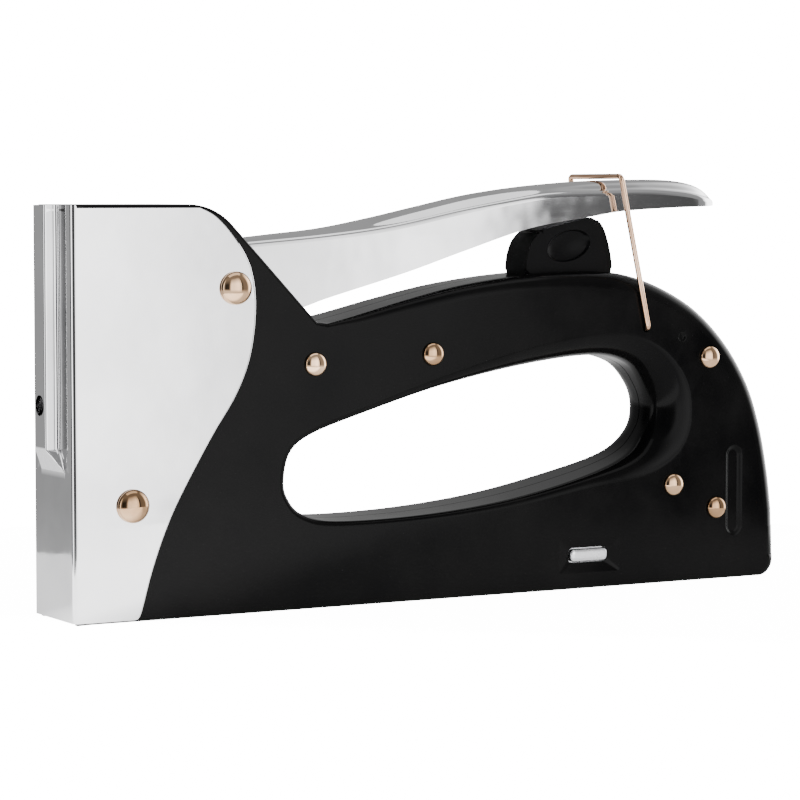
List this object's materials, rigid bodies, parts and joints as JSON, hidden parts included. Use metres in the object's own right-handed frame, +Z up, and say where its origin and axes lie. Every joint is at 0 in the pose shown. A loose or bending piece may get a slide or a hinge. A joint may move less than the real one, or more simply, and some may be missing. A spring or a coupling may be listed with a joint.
{
  "type": "staple gun",
  "caption": "Squeeze-lever staple gun with a pressed-steel body, nose cover, hand lever held down by a wire bail, finger hole and pull-out staple magazine.",
  "frame": {"origin": "middle of the flat base, at the bottom of the tool", "axes": "+X from the nose to the rear, +Y from the left shell to the right shell, +Z up"},
  "size_m": [0.2052, 0.0294, 0.1055],
  "materials": {
    "black_paint": "gloss",
    "chrome": "polished",
    "nickel": "polished",
    "bronze_wire": "satin",
    "black_plastic": "matte",
    "rubber": "matte",
    "steel": "satin",
    "dark_steel": "satin",
    "spring_steel": "satin",
    "staples": "satin"
  },
  "bodies": {
    "frame": {"shell_left": "black_paint", "shell_right": "black_paint", "nose_cover": "chrome", "pivot_rivet": "nickel", "nose_rivet": "nickel", "shell_rivet_1": "nickel", "shell_rivet_2": "nickel", "shell_rivet_3": "nickel", "shell_rivet_4": "nickel", "shell_rivet_5": "nickel", "driver_guide": "steel", "shock_pad": "rubber", "spring_seat": "dark_steel", "main_spring": "spring_steel", "magazine_channel": "steel", "lever_bumper": "black_plastic"},
    "lever_mount": {"lever_bush": "steel", "lever_return_spring": "spring_steel"},
    "lever": {"lever": "chrome"},
    "bail": {"wire_bail": "bronze_wire"},
    "hammer": {"hammer": "dark_steel", "driver_blade": "steel", "blade_rivet": "dark_steel"},
    "magazine": {"staple_rail": "steel", "pusher_rod": "steel", "pusher_spring": "spring_steel", "staple_strip": "staples", "magazine_end": "steel"},
    "pusher": {"pusher": "steel"},
    "catch_button_left": {"catch_left": "chrome"},
    "catch_button_right": {"catch_right": "chrome"}
  },
  "joints": [
    {"name": "lever_squeeze", "type": "hinge", "parent": "frame", "child": "lever_mount", "pos_m": [-0.0573, 0, 0.0781], "axis": [0, 1, 0], "range_deg": [0, 3.8], "stiffness_Nm_per_rad": 2, "springref_deg": -17.19},
    {"name": "lever_lift", "type": "hinge", "parent": "lever_mount", "child": "lever", "pos_m": [-0.0573, 0, 0.0781], "axis": [0, -1, 0], "range_deg": [0, 33]},
    {"name": "bail_swing", "type": "hinge", "parent": "frame", "child": "bail", "pos_m": [0.0605, 0, 0.066], "axis": [0, 1, 0], "range_deg": [0, 110]},
    {"name": "hammer_slide", "type": "slide", "parent": "frame", "child": "hammer", "axis": [0, 0, 1], "range_m": [0, 0.012], "stiffness_N_per_m": 3000, "springref_m": -0.01, "deforming": ["main_spring"]},
    {"name": "magazine_pull", "type": "slide", "parent": "frame", "child": "magazine", "axis": [1, 0, 0], "range_m": [0, 0.1]},
    {"name": "pusher_slide", "type": "slide", "parent": "magazine", "child": "pusher", "axis": [1, 0, 0], "range_m": [0, 0.07], "stiffness_N_per_m": 60, "springref_m": -0.05, "deforming": ["pusher_spring"]},
    {"name": "catch_press_left", "type": "hinge", "parent": "frame", "child": "catch_button_left", "pos_m": [0.0687, -0.0092, 0.0086], "axis": [0, 0, -1], "range_deg": [0, 1.9], "stiffness_Nm_per_rad": 0.5, "springref_deg": -2.86},
    {"name": "catch_press_right", "type": "hinge", "parent": "frame", "child": "catch_button_right", "pos_m": [0.0687, 0.0092, 0.0086], "axis": [0, 0, 1], "range_deg": [0, 1.9], "stiffness_Nm_per_rad": 0.5, "springref_deg": -2.86}
  ],
  "couplings": [
    {"joint": "bail_swing", "follows": "lever_squeeze", "ratio": 28.947}
  ]
}
